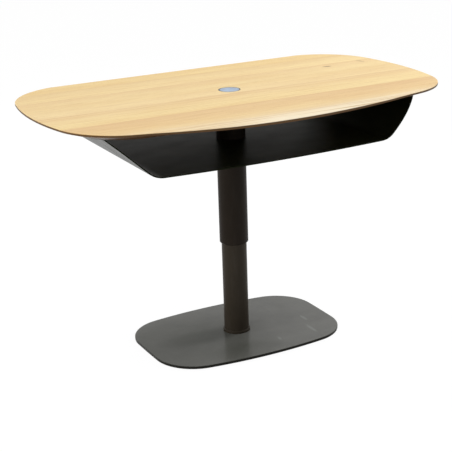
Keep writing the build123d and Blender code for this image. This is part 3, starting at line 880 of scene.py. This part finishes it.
class TABLE_OT_fasteners(bpy.types.Operator):
    """Screws and nuts"""

    bl_idname = "coffee_table.fasteners"
    bl_label = "Fasteners"

    def execute(self, context):
        zinc = bright_steel("bright_zinc_plate", "#C3C6C4", roughness=0.3)
        dress(zinc, "plate_screws", "tray_screws", "base_screws", "cylinder_nut", "rod_nuts")
        sizes = settings_of(context).hardware
        for node in ("plate_screws", "tray_screws"):
            low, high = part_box(node)
            reach = Vector(high) - Vector((sizes.wood_head, sizes.wood_head, 0))
            places = [(side * reach.x, row * reach.y, low[2]) for side in (-1, 1) for row in (-1, 0, 1)]
            shape = repeated(*wood_screw(sizes, high[2] - low[2]), places)
            screws = add_piece("star_" + node, *shape, "board", "zinc_steel", zinc)
            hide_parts(node)
        low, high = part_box("base_screws")
        reach = high[0] - sizes.machine_head
        places = [(x, y, low[2]) for x in (-reach, reach) for y in (-reach, reach)]
        shape = repeated(*base_screw(sizes, high[2] - low[2]), places)
        screws = add_piece("socket_base_screws", *shape, "pedestal", "zinc_steel", zinc)
        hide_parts("base_screws")
        return {"FINISHED"}


class TABLE_OT_gas_spring(bpy.types.Operator):
    """Lockable gas spring in the column"""

    bl_idname = "coffee_table.gas_spring"
    bl_label = "Gas spring"

    def execute(self, context):
        coats = settings_of(context).coats
        # Paint sprayed on the cylinder dries to the powder's fine skin, but glossier.
        gloss = powder_coat("gloss_black_paint", colour("#121212"), coats.grit, roughness=0.25)
        dress(gloss, "gas_cylinder")
        dress(bright_steel("hard_chrome", "#D8DADB", roughness=0.12), "gas_rod")
        machined = bright_steel("zinc_plated_machined_steel", "#A5A8AA", roughness=0.35)
        dress(machined, "cylinder_gland", "gas_piston")
        return {"FINISHED"}


def seen_rays(tree):
    """One for rays that show in the picture, straight, mirrored or through glass, nothing for the others."""
    path = add_node(tree, "LightPath").outputs
    seen = add_node(tree, "Math", {0: path["Is Camera Ray"], 1: path["Is Glossy Ray"]}, operation="MAXIMUM")
    return add_node(tree, "Math", {0: seen, 1: path["Is Transmission Ray"]}, operation="MAXIMUM")


def studio_floor(settings):
    """Flat floor, white to the camera, that keeps a soft shadow; from below it lets the camera through."""
    half = FLOOR_HALF_M
    mesh = bpy.data.meshes.new("studio_floor")
    corners = [(-half, -half, 0), (half, -half, 0), (half, half, 0), (-half, half, 0)]
    mesh.from_pydata(corners, [], [(0, 1, 2, 3)])
    floor = bpy.data.objects.new("studio_floor", mesh)
    bpy.context.scene.collection.objects.link(floor)
    material, tree = new_material("studio_paper")
    white = tuple(settings.backdrop)
    lit = add_node(tree, "BsdfDiffuse", {"Color": white})
    shown = add_node(tree, "Emission", {"Color": white, "Strength": 1 + FLOOR_GLOW * settings.shadow})
    share = add_node(tree, "Math", {0: seen_rays(tree), 1: 1 - settings.shadow}, operation="MULTIPLY")
    paper = add_node(tree, "MixShader", {0: share, 1: lit, 2: shown})
    behind = add_node(tree, "NewGeometry").outputs["Backfacing"]
    from_camera = add_node(tree, "LightPath").outputs["Is Camera Ray"]
    through = add_node(tree, "Math", {0: behind, 1: from_camera}, operation="MULTIPLY")
    clear = add_node(tree, "BsdfTransparent")
    surface = add_node(tree, "MixShader", {0: through, 1: paper, 2: clear})
    add_node(tree, "OutputMaterial", {"Surface": surface})
    mesh.materials.append(material)


def studio_world(settings):
    """White background for the camera and in reflections, and a plain level of light from all round."""
    world = bpy.data.worlds.new("studio")
    bpy.context.scene.world = world
    world.use_nodes = True
    tree = world.node_tree
    tree.nodes.clear()
    ambient = add_node(tree, "Background", {"Color": grey(1.0), "Strength": settings.ambient})
    shown = add_node(tree, "Background", {"Color": tuple(settings.backdrop), "Strength": 1.0})
    mixed = add_node(tree, "MixShader", {0: seen_rays(tree), 1: ambient, 2: shown})
    add_node(tree, "OutputWorld", {"Surface": mixed})


def soft_light(name, place, target, size, power, mirrored):
    """Square area lamp at a place, aimed at a target; one that isn't mirrored leaves no glare."""
    lamp = bpy.data.lights.new(name, "AREA")
    lamp.size = size
    lamp.energy = power
    holder = bpy.data.objects.new(name, lamp)
    holder.location = place
    holder.rotation_euler = (Vector(target) - Vector(place)).to_track_quat("-Z", "Y").to_euler()
    holder.visible_glossy = mirrored
    bpy.context.scene.collection.objects.link(holder)


def studio_camera(settings):
    """Camera at the photograph's angle, with the lens pointed at the photograph's own middle.

    The way back from the target to the lens comes from the azimuth and elevation, and the roll turns the
    camera on it.
    """
    lens = bpy.data.cameras.new("camera")
    lens.sensor_width = SENSOR_MM
    lens.lens = settings.focal_pixels / PICTURE_PIXELS * SENSOR_MM
    lens.shift_x = (PICTURE_PIXELS / 2 - settings.centre_column) / PICTURE_PIXELS
    lens.shift_y = (settings.centre_row - PICTURE_PIXELS / 2) / PICTURE_PIXELS
    camera = bpy.data.objects.new("camera", lens)
    level = math.cos(settings.elevation)
    side, front = math.sin(settings.azimuth) * level, -math.cos(settings.azimuth) * level
    back = Vector((side, front, math.sin(settings.elevation)))
    camera.location = Vector((0, 0, settings.target_height)) + back * settings.distance
    camera.rotation_mode = "QUATERNION"
    camera.rotation_quaternion = back.to_track_quat("Z", "Y") @ Quaternion((0, 0, 1), settings.roll)
    bpy.context.scene.collection.objects.link(camera)
    bpy.context.scene.camera = camera


class TABLE_OT_stage(bpy.types.Operator):
    """White floor, soft lamps and camera"""

    bl_idname = "coffee_table.stage"
    bl_label = "Stage"

    def execute(self, context):
        stage = settings_of(context).stage
        studio_floor(stage)
        studio_world(stage)
        studio_camera(stage)
        for name, place, target, size, power, mirrored in LAMPS:
            soft_light(name, place, target, size, getattr(stage, power), mirrored)
        context.scene.view_settings.view_transform = "Standard"
        return {"FINISHED"}


STEPS = (
    TABLE_OT_board, TABLE_OT_button, TABLE_OT_tray, TABLE_OT_column,
    TABLE_OT_base, TABLE_OT_fasteners, TABLE_OT_gas_spring, TABLE_OT_stage,
)


class TABLE_PT_steps(bpy.types.Panel):
    """Lists the steps that dress the table"""

    bl_idname = "TABLE_PT_steps"
    bl_label = "Coffee table"
    bl_space_type = "VIEW_3D"
    bl_region_type = "UI"
    bl_category = "Coffee table"

    def draw(self, context):
        for step in STEPS:
            self.layout.operator(step.bl_idname)
        settings = settings_of(context)
        for group in (settings.board, settings.coats, settings.hardware, settings.stage):
            box = self.layout.box()
            for name in group.__annotations__:
                box.prop(group, name)


CLASSES = (
    BoardSettings, CoatSettings, HardwareSettings, StageSettings, TableSettings, *STEPS, TABLE_PT_steps,
)


def register():
    """Add the settings, operators and panel."""
    for item in CLASSES:
        bpy.utils.register_class(item)
    bpy.types.Scene.coffee_table = PointerProperty(type=TableSettings)


def unregister():
    """Remove the settings, operators and panel."""
    del bpy.types.Scene.coffee_table
    for item in reversed(CLASSES):
        bpy.utils.unregister_class(item)


def main():
    """Dress the table and build the studio."""
    register()
    for step in STEPS:
        group, name = step.bl_idname.split(".")
        getattr(getattr(bpy.ops, group), name)()


if __name__ == "__main__":
    main()
